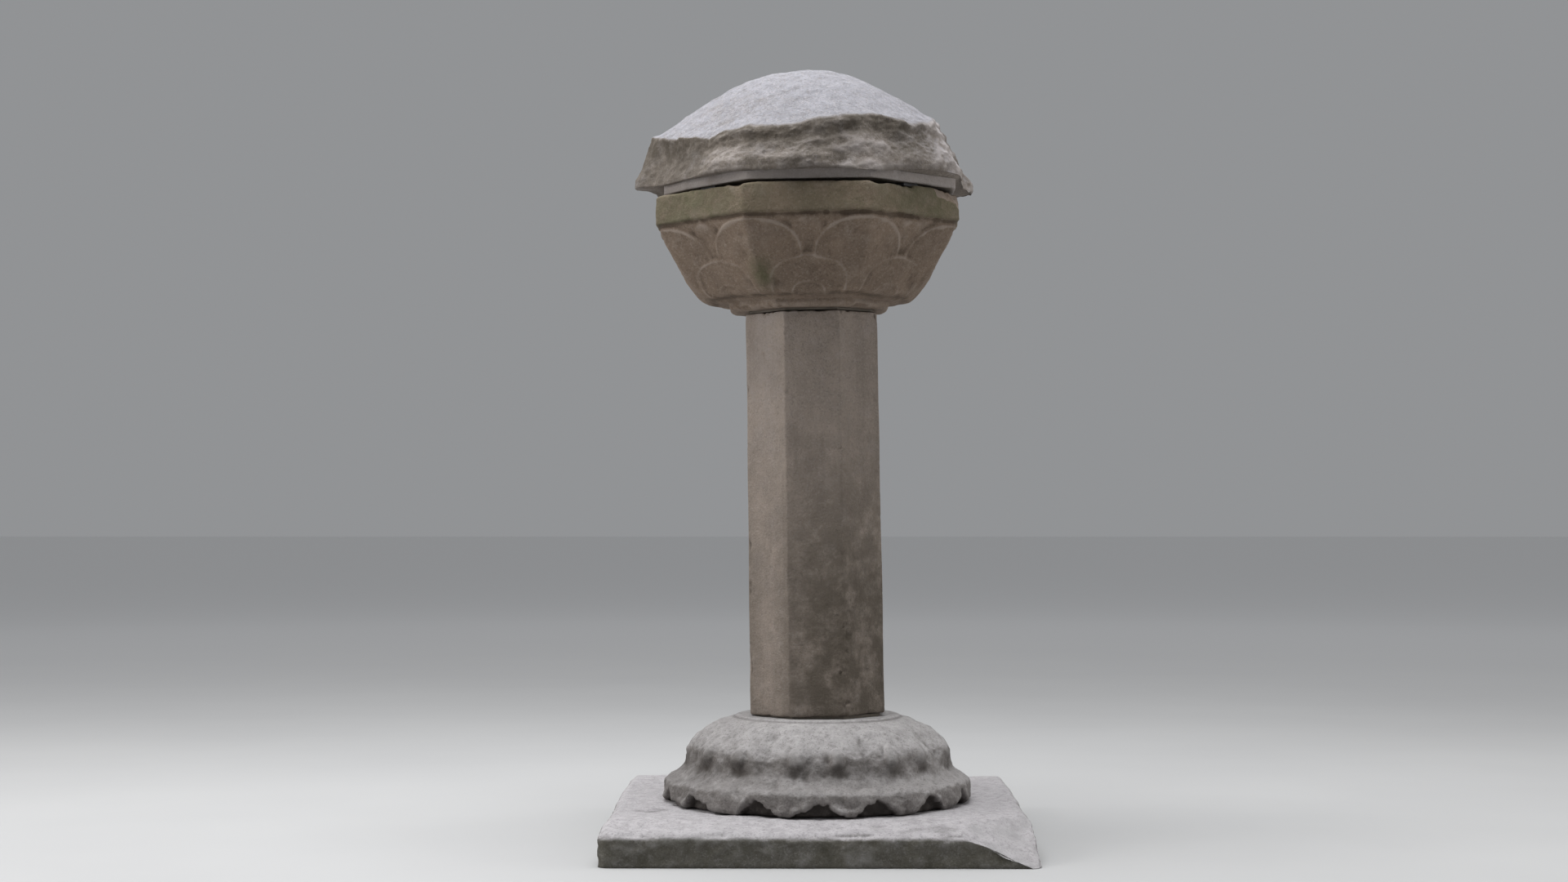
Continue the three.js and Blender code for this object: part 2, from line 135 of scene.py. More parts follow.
def craggy(points, size, salt, octaves=5):
    """Noise with sharp crests and rounded dips, as on split stone."""
    layers = [0.55**k * (1 - 2.6 * np.abs(lumps(points, size / 1.9**k, salt + 17 * k)))
              for k in range(octaves)]
    return sum(layers) / 1.6


# --- Shaping ----------------------------------------------------------------------------------

def smoothstep(value, start, end):
    """0 before start, 1 after end, and a smooth rise between them."""
    part = np.clip((value - start) / (end - start), 0, 1)
    return part * part * (3 - 2 * part)


def hill(value, centre, width):
    """A smooth hill of height 1 at the centre."""
    return np.exp(-(((value - centre) / width) ** 2))


def mix(first, second, share):
    """The first value at a share of 0, the second at 1."""
    return first + (second - first) * share


def blurred(field, times):
    """A grid of values averaged again and again with its neighbours."""
    for _ in range(times):
        for axis in (0, 1):
            field = (np.roll(field, 1, axis) + 2 * field + np.roll(field, -1, axis)) / 4
    return field


def from_middle(bearing, count, shift=0.0):
    """The angle from the middle of the nearest of so many equal sectors."""
    sector = 2 * math.pi / count
    return (bearing - shift + sector / 2) % sector - sector / 2


def octagon(bearing, crispness=150):
    """Radius of an octagon of half width 1, a flat to the front, with its corners worn."""
    facing = sum(
        np.maximum(np.cos(bearing - k * 2 * math.pi / FACETS), 0) ** crispness
        for k in range(FACETS)
    )
    return facing ** (-1 / crispness)


def trace(outline, step):
    """Points along straight lines from point to point of an outline, this far apart."""
    outline = np.array(outline, float)
    rows = []
    for start, end in zip(outline[:-1], outline[1:]):
        pieces = max(1, round(math.hypot(*(end - start)) / step))
        for k in range(pieces):
            rows.append(mix(start, end, k / pieces))
    return np.array(rows)


def softened(rows, times):
    """A closed outline with its corners worn round."""
    for _ in range(times):
        rows = (np.roll(rows, 1, 0) + 2 * rows + np.roll(rows, -1, 0)) / 4
    return rows


def curve_through(points, steps=12):
    """A smooth curve through the given points."""
    points = np.array(points, float)
    padded = np.vstack([2 * points[0] - points[1], points, 2 * points[-1] - points[-2]])
    rows = []
    for a, b, c, d in zip(padded[:-3], padded[1:-2], padded[2:-1], padded[3:]):
        for t in np.linspace(0, 1, steps, endpoint=False):
            bend = (2 * a - 5 * b + 4 * c - d) * t**2 + (3 * b - a - 3 * c + d) * t**3
            rows.append(0.5 * (2 * b + (c - a) * t + bend))
    rows.append(points[-1])
    return np.array(rows)


# --- Grids of points round the axis -----------------------------------------------------------

def bearings(columns=COLUMNS):
    """Evenly spaced bearings all the way round, starting from the back."""
    return np.linspace(-math.pi, math.pi, columns, endpoint=False)


def grids_of(rows, columns=COLUMNS):
    """Grids of bearing, radius and height for a section's rows turned round the axis."""
    bearing = bearings(columns) + np.zeros((len(rows), 1))
    return bearing, rows[:, :1] + 0 * bearing, rows[:, 1:] + 0 * bearing


def around(radius, height):
    """Points round the axis from grids of radius and height."""
    bearing = np.broadcast_to(bearings(radius.shape[1]), radius.shape)
    height = np.broadcast_to(height, radius.shape)
    return np.stack([radius * np.sin(bearing), -radius * np.cos(bearing), height], axis=-1)


def normals_of(points):
    """Outward normals of a grid of points whose rows run up and whose columns run round."""
    along = np.roll(points, -1, 1) - np.roll(points, 1, 1)
    up = np.roll(points, -1, 0) - np.roll(points, 1, 0)
    cross = np.cross(along, up)
    return cross / np.maximum(np.linalg.norm(cross, axis=-1, keepdims=True), 1e-12)


def grid_faces(rows, columns, closed=True):
    """Quads between neighbouring points; the columns always close and the rows may."""
    lower = np.arange(rows if closed else rows - 1)[:, None]
    upper = (lower + 1) % rows
    here = np.arange(columns)
    beside = (here + 1) % columns
    corners = [lower * columns + here, lower * columns + beside,
               upper * columns + beside, upper * columns + here]
    return np.stack(corners, axis=-1).reshape(-1, 4).tolist()


def relief_of(depth, scale):
    """How far each point stands above (+) or below (-) its surroundings, from -1 to 1."""
    return np.clip((depth - blurred(depth, 40)) / scale, -1, 1)


def stone_piece(name, vertices, faces, marks, node, body, kind, place=UPRIGHT):
    """A smooth-shaded stone that stands for a CAD node and rides on its body.

    Its marks are a value for each point: relief (crests + and hollows -, with some painted shade and painted
    light), stain and painted shade, and split stone.
    """
    mesh = bpy.data.meshes.new(name)
    mesh.from_pydata(vertices.reshape(-1, 3).tolist(), [], faces)
    mesh.transform(place)
    for label in ("relief", "stain_and_shade", "split"):
        attribute = mesh.attributes.new(label, "FLOAT", "POINT")
        values = np.asarray(marks.get(label, np.zeros(len(mesh.vertices))), np.float32)
        attribute.data.foreach_set("value", values.ravel())
    mesh.polygons.foreach_set("use_smooth", np.ones(len(mesh.polygons), bool))
    mesh.materials.append(STONES[kind])
    piece = bpy.data.objects.new(name, mesh)
    bpy.context.scene.collection.objects.link(piece)
    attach(piece, body)
    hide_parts(node)
    return piece


# --- Materials --------------------------------------------------------------------------------

class Nodes:
    """A few short calls for wiring a material."""

    def __init__(self, name):
        self.material = bpy.data.materials.new(name)
        self.material.use_nodes = True
        self.tree = self.material.node_tree
        self.shader = self.tree.nodes["Principled BSDF"]
        self.place = self.add("ShaderNodeTexCoord").outputs["Object"]

    def add(self, kind, **inputs):
        node = self.tree.nodes.new(kind)
        for key, value in inputs.items():
            self.plug(node.inputs[key], value)
        return node

    def plug(self, socket, value):
        if isinstance(value, bpy.types.NodeSocket):
            self.tree.links.new(value, socket)
        else:
            socket.default_value = value

    def noise(self, size, detail=4.0, roughness=0.55, stretch=(1, 1, 1)):
        """Noise from 0 to 1 with lumps of this size in metres."""
        place = self.add("ShaderNodeVectorMath")
        place.operation = "MULTIPLY"
        self.plug(place.inputs[0], self.place)
        place.inputs[1].default_value = stretch
        node = self.add("ShaderNodeTexNoise", Vector=place.outputs[0], Scale=1 / size,
                        Detail=detail, Roughness=roughness)
        return node.outputs["Fac"]

    def crystals(self, size):
        """Two random values from 0 to 1 for each little grain of the stone."""
        cells = self.add("ShaderNodeTexVoronoi", Vector=self.place, Scale=1 / size)
        parts = self.add("ShaderNodeSeparateColor", Color=cells.outputs["Color"])
        return parts.outputs["Red"], parts.outputs["Green"]

    def ramp(self, value, start, end):
        """0 before start, 1 after end."""
        node = self.add("ShaderNodeMapRange", Value=value)
        node.interpolation_type = "SMOOTHSTEP"
        node.inputs["From Min"].default_value = start
        node.inputs["From Max"].default_value = end
        return node.outputs["Result"]

    def math(self, operation, first, second):
        node = self.add("ShaderNodeMath")
        node.operation = operation
        self.plug(node.inputs[0], first)
        self.plug(node.inputs[1], second)
        return node.outputs[0]

    def blend(self, share, first, second):
        node = self.add("ShaderNodeMix")
        node.data_type = "RGBA"
        for label, value in (("Factor_Float", share), ("A_Color", first), ("B_Color", second)):
            self.plug(next(socket for socket in node.inputs if socket.identifier == label), value)
        return next(socket for socket in node.outputs if socket.identifier == "Result_Color")

    def tinted(self, share, amount, first, second):
        """A blend towards the second colour, by a share that is first made fainter."""
        return self.blend(self.math("MULTIPLY", share, amount), first, second)

    def attribute(self, name):
        node = self.add("ShaderNodeAttribute")
        node.attribute_name = name
        return node.outputs["Fac"]

    def facing_up(self):
        """1 where the surface faces the sky, 0 where it is upright, less where it overhangs."""
        geometry = self.add("ShaderNodeNewGeometry")
        return self.add("ShaderNodeSeparateXYZ", Vector=geometry.outputs["Normal"]).outputs["Z"]

    def bumps(self, *layers):
        """Stacks (height, distance in metres) layers into the shader's normal."""
        normal = None
        for value, distance in layers:
            node = self.add("ShaderNodeBump", Height=value, Distance=distance)
            if normal is not None:
                self.plug(node.inputs["Normal"], normal)
            normal = node.outputs["Normal"]
        self.plug(self.shader.inputs["Normal"], normal)


def tint(colour, factor=1.0):
    """A colour made lighter or darker, with its opacity added."""
    return (*[part * factor for part in colour], 1.0)


def granite(name, body, pale, dirt_and_shade, bleached_and_lit=None, streaks=0.3, blotches=0.4,
            stain_and_shade=(0.06, 0.055, 0.035)):
    """Weathered granite: mottled, speckled, streaked; dark in its hollows with dirt and painted shade, pale on its
    crests, and pale on its tops with bleaching and painted sky light.
    """
    n = Nodes(name)
    mottle = n.ramp(n.noise(0.09, 7, 0.62), 0.32, 0.7)
    colour = n.blend(mottle, tint(body, 0.85), tint(body, 1.15))
    patches = n.ramp(n.noise(0.035, 6, 0.62), 0.5, 0.7)
    colour = n.tinted(patches, blotches, colour, tint(pale, 0.75))
    runs = n.ramp(n.noise(0.02, 5, 0.6, stretch=(1, 1, 0.1)), 0.48, 0.75)
    colour = n.tinted(runs, streaks, colour, tint(dirt_and_shade, 1.6))

    if bleached_and_lit:
        # Pale wash on surfaces that face up: bleaching, and painted sky light that makes the tops pale and bluish;
        # held back on split stone.
        sky = n.ramp(n.math("ADD", n.facing_up(), n.math("MULTIPLY", patches, 0.14)), 0.15, 0.8)
        weathered = n.math("SUBTRACT", 1.0, n.math("MULTIPLY", n.attribute("split"), 0.85))
        flecks = n.ramp(n.noise(0.016, 7, 0.68), 0.35, 0.62)
        clean = n.blend(flecks, tint(bleached_and_lit, 0.85), tint(bleached_and_lit, 1.08))
        colour = n.tinted(n.math("MULTIPLY", sky, weathered), 0.92, colour, clean)

    feldspar, mica = n.crystals(2.4 * MM)
    colour = n.tinted(n.ramp(feldspar, 0.6, 0.95), 0.2, colour, tint(pale))
    colour = n.tinted(n.ramp(mica, 0.75, 0.95), 0.25, colour, tint(dirt_and_shade))
    speckle = n.ramp(n.noise(7 * MM, 6, 0.72), 0.54, 0.68)
    colour = n.tinted(speckle, 0.32, colour, tint(dirt_and_shade, 2.0))

    # Relief tints: hollows go towards the dark colour (dirt and painted shade), crests towards pale; the stones
    # also add painted shade and painted light to this relief.
    relief = n.attribute("relief")
    hollow = n.ramp(n.math("MULTIPLY", relief, -1.0), 0.05, 0.8)
    colour = n.tinted(hollow, 0.7, colour, tint(dirt_and_shade))
    colour = n.tinted(n.ramp(relief, 0.1, 0.9), 0.6, colour, tint(pale, 0.85))

    # Stain marks, made patchy: dirt, lichen and damp, and also painted shade in the lotus lip's hollows, under its
    # bosses, on the lower shaft and at the top of the cover's fracture.
    patchy = n.ramp(n.noise(0.03, 6, 0.68), 0.14, 0.62)
    colour = n.tinted(n.math("MULTIPLY", n.attribute("stain_and_shade"), patchy), 0.85, colour, tint(stain_and_shade))

    n.plug(n.shader.inputs["Base Color"], colour)
    n.shader.inputs["Specular IOR Level"].default_value = 0.2
    n.plug(n.shader.inputs["Roughness"], n.math("ADD", n.math("MULTIPLY", mottle, 0.12), 0.82))
    n.bumps((n.noise(16 * MM, 7, 0.7), 3.2 * MM), (n.noise(2.4 * MM, 3, 0.6), 0.9 * MM))
    return n.material


def metal(name, colour, tarnish, roughness, dent):
    """Old metal: tarnished in patches and slightly dented."""
    n = Nodes(name)
    patches = n.ramp(n.noise(0.03, 6, 0.6), 0.35, 0.65)
    n.plug(n.shader.inputs["Base Color"], n.blend(patches, tint(colour), tint(tarnish)))
    n.shader.inputs["Metallic"].default_value = 0.85
    n.plug(n.shader.inputs["Roughness"], n.math("ADD", n.math("MULTIPLY", patches, 0.25), roughness))
    n.bumps((n.noise(18 * MM, 4, 0.5), dent), (n.noise(2 * MM, 3, 0.6), 0.1 * MM))
    return n.material


def mortar():
    """Old lime mortar, sandy and stained."""
    n = Nodes("mortar")
    patches = n.noise(0.02, 6, 0.65)
    colour = n.blend(patches, tint((0.12, 0.1, 0.08)), tint((0.26, 0.23, 0.19)))
    n.plug(n.shader.inputs["Base Color"], colour)
    n.plug(n.shader.inputs["Roughness"], n.math("ADD", n.math("MULTIPLY", patches, 0.1), 0.85))
    n.bumps((n.noise(5 * MM, 5, 0.7), 1.5 * MM))
    return n.material


STONE_LOOKS = {
    "slab_granite": {
        "body": (0.14, 0.132, 0.12), "pale": (0.42, 0.41, 0.41), "dirt_and_shade": (0.06, 0.058, 0.05),
        "bleached_and_lit": (0.45, 0.43, 0.44), "streaks": 0.15, "blotches": 0.35,
    },
    "base_granite": {
        "body": (0.205, 0.19, 0.18), "pale": (0.4, 0.385, 0.375), "dirt_and_shade": (0.05, 0.042, 0.037),
        "bleached_and_lit": (0.415, 0.4, 0.395), "streaks": 0.25, "stain_and_shade": (0.062, 0.054, 0.048),
    },
    "shaft_granite": {
        "body": (0.272, 0.228, 0.193), "pale": (0.4, 0.36, 0.34), "dirt_and_shade": (0.11, 0.09, 0.075),
        "streaks": 0.4, "blotches": 0.22, "stain_and_shade": (0.07, 0.058, 0.043),
    },
    "bowl_granite": {
        "body": (0.185, 0.139, 0.104), "pale": (0.38, 0.32, 0.27), "dirt_and_shade": (0.062, 0.044, 0.03),
        "streaks": 0.2, "blotches": 0.25, "stain_and_shade": (0.085, 0.086, 0.045),
    },
    "cover_granite": {
        "body": (0.2, 0.172, 0.146), "pale": (0.47, 0.43, 0.415), "dirt_and_shade": (0.062, 0.05, 0.039),
        "bleached_and_lit": (0.24, 0.24, 0.262), "streaks": 0.12, "blotches": 0.55,
        "stain_and_shade": (0.055, 0.045, 0.033),
    },
}
STONES = {name: granite(name, **look) for name, look in STONE_LOOKS.items()}


# --- Ground slab ------------------------------------------------------------------------------

def box_skin(low, high, step):
    """The points and quads of a box's skin, divided into a fine grid."""
    counts = [max(2, round((high[k] - low[k]) / step)) for k in range(3)]
    index = {}
    faces = []
    for axis in range(3):
        u, v = (axis + 1) % 3, (axis + 2) % 3
        for end in (0, counts[axis]):
            for a, b in np.ndindex(counts[u], counts[v]):
                quad = []
                for da, db in ((0, 0), (1, 0), (1, 1), (0, 1)):
                    spot = [0, 0, 0]
                    spot[axis], spot[u], spot[v] = end, a + da, b + db
                    quad.append(index.setdefault(tuple(spot), len(index)))
                faces.append(quad if end else quad[::-1])
    shares = np.array(list(index)) / counts
    return mix(np.array(low), np.array(high), shares), faces


def rounded(points, low, high, edge):
    """A box's points brought in to round all its edges but the bottom ones, and their normals."""
    inner_low = [low.x + edge, low.y + edge, low.z]
    inner = np.clip(points, inner_low, [high.x - edge, high.y - edge, high.z - edge])
    out = points - inner
    reach = np.abs(out).max(axis=1, keepdims=True)
    length = np.maximum(np.linalg.norm(out, axis=1, keepdims=True), 1e-9)
    normal = out / length
    return inner + normal * reach, normal


def plane_through(points):
    """A point of the plane through three points, and its normal pointing up."""
    first, second, third = np.array(points)
    normal = np.cross(second - first, third - first)
    return first, normal * np.sign(normal[2]) / np.linalg.norm(normal)


def wear_slab(points, up, half):
    """Lowers the slab's top towards its front edge and draws its sides in, both in place."""
    side_wear = 5 * MM * hill(-points[:, 1], 0.13, 0.11)
    side_wear = side_wear * smoothstep(np.abs(points[:, 0]), 0.2, half)
    points[:, 0] -= side_wear * np.sign(points[:, 0])
    front_wear = 11 * MM * smoothstep(-points[:, 1], 0.255, half)
    points[:, 2] -= front_wear * smoothstep(up, 0.2, 1)


def split_corner(points, up, half, thick):
    """Drops the front right corner to a sloping break, in place: the share split, and its chips."""
    ends = [(0.205, -half, thick - 11 * MM), (half - 10 * MM, -half, 3 * MM), (half, -0.19, thick)]
    start, facing = plane_through(ends)
    chipped = craggy(points, 0.08, 15, 5) * 3.5 * MM
    beyond = np.maximum((points - start) @ facing + chipped, 0)
    points[:, 2] -= beyond / facing[2]
    points[:, 2] = np.where(up > 0, np.maximum(points[:, 2], 1 * MM * up), 0)
    return smoothstep(beyond, 0, 2 * MM), chipped


def ground_slab():
    """A square slab, worn down towards its front edge, its front right corner split off."""
    low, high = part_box("ground_slab")
    half, thick = high.x, high.z
    points, faces = box_skin(low, high, 3.3 * MM)
    up = points[:, 2] / thick
    points, normal = rounded(points, low, high, 15 * MM)

    on_edge = smoothstep(1 - np.abs(normal).max(axis=1), 0.0, 0.25)
    heave = rough(points, 0.16, 11, 3) * 1.6 * MM + rough(points, 0.035, 12, 4) * 1.3 * MM
    quarried = (craggy(points, 0.05, 13, 4) - 0.3) * 2.2 * MM * (1 - np.abs(normal[:, 2]))
    nibbles = np.clip(rough(points, 0.07, 14, 5) - 0.05, -0.6, 0) * 6 * MM * on_edge
    depth = np.minimum((heave + quarried + nibbles) * (up > 0), 2 * MM)
    points = points + normal * depth[:, None]
    wear_slab(points, up, half)
    split, chipped = split_corner(points, up, half, thick)

    relief = np.clip((heave + quarried) / (4 * MM), -1, 1)
    relief = relief + 0.5 * split * np.clip(chipped / (4 * MM), -1, 1)
    # Darker on its upright sides, but not on the split corner.
    stain_and_shade = 0.7 * (1 - smoothstep(normal[:, 2], 0.1, 0.7)) * (1 - split)
    marks = {"relief": relief, "stain_and_shade": stain_and_shade}
    stone_piece("slab_stone", points, faces, marks, "ground_slab", "font", "slab_granite")


# --- Lotus base -------------------------------------------------------------------------------

LIP_DROP = 3.5 * MM  # the lip hides the mortar bed and comes down to the slab
RING = 0.14  # radius of the low ring that the shaft stands on
LOBE_ASIDE = 9 * DEGREE  # each petal has two lobes, this far from its middle
BOSS_LEVEL = 80 * MM  # above the stone's foot


def lotus_section(foot, top, reach):
    """Rows of the lotus stone's section: underside, lip, flank, ring and bore."""
    bore = 34 * MM
    flank = curve_through([
        (reach - 1 * MM, foot + 20 * MM), (reach - 3 * MM, foot + 31 * MM),
        (0.251, foot + 37 * MM), (0.24, foot + 43 * MM), (0.23, foot + 54 * MM),
        (0.224, foot + 68 * MM), (0.217, foot + 90 * MM), (0.198, foot + 108 * MM),
        (0.179, foot + 123 * MM), (0.158, foot + 132 * MM), (0.143, foot + 136 * MM),
    ], 6)
    lip_foot = foot - LIP_DROP
    under_end, ring_inner = (reach - 40 * MM, foot), (RING - 25 * MM, top)
    rows = np.vstack([
        trace([(bore, foot), under_end], HIDDEN_STEP),
        trace([under_end, (reach - 34 * MM, lip_foot), (reach - 3 * MM, lip_foot),
               (reach, foot + 2 * MM), *flank,
               (RING + 1 * MM, top - 3 * MM), (RING - 2 * MM, top), ring_inner], STEP),
        trace([ring_inner, (bore, top), (bore, foot)], HIDDEN_STEP),
    ])
    return softened(rows, 2)


def lotus_petals(turned, lobe, level, foot):
    """How far the petals' lobes stand out of the dome, with furrows between the petals."""
    on_dome = smoothstep(level, foot + 48 * MM, foot + 75 * MM)
    on_dome = on_dome * smoothstep(foot + 138 * MM - level, 0, 30 * MM)
    between = from_middle(turned, FACETS, HALF_FACET)
    lobes = 2.5 * MM * hill(lobe, 0, 6 * DEGREE) * on_dome
    furrows = 4 * MM * hill(between, 0, 4 * DEGREE) * on_dome
    return lobes - furrows


def lotus_bosses(bearing, radius, lobe, rise):
    """A boss on each lobe, worn off at the sides: it grows out of the dome and ends round below."""
    boss = np.hypot(lobe * radius / (15 * MM), rise / np.where(rise > 0, 22 * MM, 13 * MM))
    worn_off = 0.85 * hill(np.abs(bearing), 92 * DEGREE, 20 * DEGREE)
    standing = 7.5 * MM * np.clip(1 - boss**2, 0, 1) ** 0.75 * (1 - worn_off)
    undercut = 2.5 * MM * hill(rise, -20 * MM, 8 * MM) * hill(lobe, 0, 6 * DEGREE)
    return standing - undercut


def lip_hollows(bearing, radius, above, points, outside):
    """Hollows along the lip, each of its own size, with the stone between them broken away too.

    Returns the share of each point inside a hollow, how deep it is cut towards the axis, and how
    far the folds and the crumbled stone round it stand out.
    """
    drift = 6 * DEGREE * smoothstep(-bearing, 0.5, 0.9)
    uneven = 1.5 * DEGREE * lumps(points, 0.15, 26)
    scallop = from_middle(bearing + drift + uneven, 2 * FACETS)
    broken = 1 + 0.3 * craggy(points, 0.035, 27, 4)
    span = (28 * MM + 13 * MM * lumps(points, 0.16, 21)) * broken
    arch = above / (22 * MM * broken) + (np.abs(scallop) * radius / span) ** 1.3
    on_lip = smoothstep(radius, 0.212, 0.25)
    hollow = (1 - smoothstep(arch, 0.8, 0.93)) * on_lip
    ragged_foot = (1 - smoothstep(above, 0, 5 * MM * broken)) * on_lip
    cave = (13 * MM + 4 * MM * craggy(points, 0.03, 25, 4)) * np.maximum(hollow, 0.25 * ragged_foot)

    outer_side = smoothstep(scallop * np.sign(bearing) * radius / span, 0.1, 0.6)
    fold = 3 * MM * hill(arch, 1.13, 0.13) * on_lip * outer_side
    near_foot = on_lip * (1 - smoothstep(above, 15 * MM, 35 * MM))
    crumbled = 1.6 * MM * (craggy(points, 0.028, 28, 4) - 0.2) * near_foot
    ridge = hill(np.abs(scallop), HALF_FACET / 2, 1.8 * DEGREE)
    ridge = ridge * smoothstep(above, 12 * MM, 30 * MM) * smoothstep(62 * MM - above, 0, 30 * MM)
    return hollow, cave, fold + crumbled + 2.2 * MM * ridge * outside


def lotus_shade_and_darkening(bearing, hollow, lobe, rise):
    """Painted shade in the lip's hollows, painted shadow under the bosses, and darker round the waist and on the
    left.
    """
    under_boss = hill(rise, -8 * MM, 11 * MM) * hill(lobe, 0, 4 * DEGREE)
    on_right = smoothstep(np.sin(bearing), 0.1, 0.8)
    on_left = smoothstep(-np.sin(bearing), 0.2, 0.9)
    darker_waist_and_left = 0.5 * hill(rise, -20 * MM, 36 * MM) * (1 - 0.8 * on_right) + 0.3 * on_left
    return np.clip(1.2 * hollow + 0.6 * under_boss + darker_waist_and_left, 0, 1)


def lotus_base():
    """A round stone: eight turned-down petals with two bosses each, over a lip cut in hollows."""
    low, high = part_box("lotus_base")
    foot, top = low.z, high.z
    lip_foot = foot - LIP_DROP
    bearing, radius, height = grids_of(lotus_section(foot, top, high.x))
    points = around(radius, height)
    outside = smoothstep(radius, RING + 4 * MM, RING + 30 * MM)
    outside = outside * smoothstep(height, lip_foot, foot + 1 * MM)

    # The carver set the petals out by eye: those on the right come a little nearer the front.
    turned = bearing + 7 * DEGREE * np.maximum(np.sin(bearing), 0)
    lobe = np.abs(from_middle(turned, FACETS)) - LOBE_ASIDE
    level = height + 3 * MM * lumps(points, 0.1, 20)
    rise = level - (foot + BOSS_LEVEL)
    hollow, cave, broken_lip = lip_hollows(bearing, radius, height - foot, points, outside)
    carved = lotus_petals(turned, lobe, level, foot) + lotus_bosses(bearing, radius, lobe, rise)

    worn = rough(points, 0.08, 22) * 2.8 * MM + rough(points, 0.018, 23, 4) * 1.7 * MM
    depth = blurred(carved + broken_lip, 1) + worn * outside
    points = around(radius - cave, height)
    points = points + normals_of(points) * (depth * outside)[..., None]
    points[..., 2] = np.clip(points[..., 2], lip_foot, top)

    # Painted shade: a dark line along the step round the ring, and the lip's hollows darkened.
    collar = hill(radius, RING + 2 * MM, 3.5 * MM) * (height > foot + 100 * MM)
    marks = {
        "relief": np.clip(relief_of(depth, 4 * MM) - 1.2 * hollow - 0.5 * collar, -1, 1),
        "stain_and_shade": lotus_shade_and_darkening(bearing, hollow, lobe, rise),
        # Less of the pale wash on top in a band below the bosses.
        "split": 0.5 * hill(rise, -38 * MM, 24 * MM),
    }
    faces = grid_faces(*radius.shape)
    stone_piece("lotus_stone", points, faces, marks, "lotus_base", "font", "base_granite")


# --- Shaft ------------------------------------------------------------------------------------

SHAFT_BORE = 31 * MM
SHAFT_COLUMNS = 440


def shaft_section(foot, head, wide):
    """Rows of the shaft's section, a little narrower at its head."""
    narrow = wide - 1.5 * MM
    foot_end, head_end = (wide - 20 * MM, foot), (narrow - 20 * MM, head)
    rows = np.vstack([
        trace([(SHAFT_BORE, foot), foot_end], HIDDEN_STEP),
        trace([foot_end, (wide, foot), (narrow, head - 1 * MM), head_end], STEP),
        trace([head_end, (SHAFT_BORE, head), (SHAFT_BORE, foot)], 3 * HIDDEN_STEP),
    ])
    return softened(rows, 2)


def shaft_wear(points, bearing, height, foot, head):
    """Tool marks, pits at the worn arris, chips along the arrises, and spalls at both ends."""
    below_head = head - height
    pitted = 0.25 + 1.5 * hill(bearing, 26 * DEGREE, 12 * DEGREE) * smoothstep(below_head, 0.3, 0.55)
    pits = np.minimum(rough(points, 0.014, 31, 3) + 0.3, 0) * 3 * MM * pitted
    dressing = rough(points * np.array([1, 1, 0.3]), 0.06, 32, 5) * 1.0 * MM
    on_arris = smoothstep(octagon(bearing, 400), 1.05, 1.08)
    chips = np.minimum(rough(points, 0.045, 33) + 0.45, 0) * 9 * MM * on_arris
    ends = hill(height, head, 8 * MM) + 0.35 * hill(height, foot, 6 * MM)
    spalls = np.minimum(rough(points, 0.035, 34) + 0.1, 0) * 8 * MM * ends
    return pits + dressing + chips + spalls


def shaft():
    """An octagonal shaft with one crisp arris and one pitted and worn away at the front."""
    low, high = upright_box("shaft")
    foot, head = low.z, high.z
    wide = 1 * MM - low.y
    rows = shaft_section(foot, head, wide)
    bearing, radius, height = grids_of(rows, SHAFT_COLUMNS)
    below_head = head - height
    worn_arris = hill(bearing, HALF_FACET, 12 * DEGREE) * smoothstep(below_head, 0.2, 0.45)
    eight = smoothstep(rows[:, :1], SHAFT_BORE + 20 * MM, wide - 20 * MM)
    radius = radius * mix(1, octagon(bearing, mix(260, 60, worn_arris)), eight)
    points = around(radius, height)

    outside = smoothstep(radius, wide - 25 * MM, wide - 2 * MM)
    depth = shaft_wear(points, bearing, height, foot, head) * outside
    points = points + normals_of(points) * depth[..., None]
    points[..., 2] = np.clip(points[..., 2], foot, head)

    damp = hill(bearing, 19 * DEGREE, 9 * DEGREE) * smoothstep(foot + 0.09 - height, 0, 0.06)
    front_left_face = 0.7 * hill(bearing, -45 * DEGREE, 26 * DEGREE)
    # Painted shade: darker towards the bottom, least on the front-left face.
    weathered = smoothstep(below_head, 0, 0.55) * (1 - front_left_face)
    # Painted light: the upper part of the front-left face is made paler, where the bowl shades it from the lamps.
    bleached_and_lit = 0.7 * front_left_face * smoothstep(height, head - 0.45, head)
    marks = {
        "relief": relief_of(depth, 2.2 * MM) + bleached_and_lit,
        "stain_and_shade": np.clip(0.8 * damp + weathered, 0, 1),
    }
    faces = grid_faces(*radius.shape)
    stone_piece("shaft_stone", points, faces, marks, "shaft", "font", "shaft_granite", LEAN)


# --- Bowl -------------------------------------------------------------------------------------

def bowl_levels():
    """The bowl's main levels and radii, from the CAD bowl and the lining of its basin."""
    low, high = upright_box("bowl")
    liner_low, liner_high = upright_box("basin_liner")
    return SimpleNamespace(
        foot=low.z,
        body_foot=low.z + 15 * MM,
        rim_foot=high.z - 52 * MM,
        rim_top=high.z,
        rebate=high.z - 3.8 * MM,
        basin=liner_low.z - 0.5 * MM,
        rim=2 * MM - low.y,
        lip=liner_high.x + 1 * MM,
        basin_wall=liner_high.x - 8 * MM,
        ring=0.135,
        bore=19 * MM,
    )


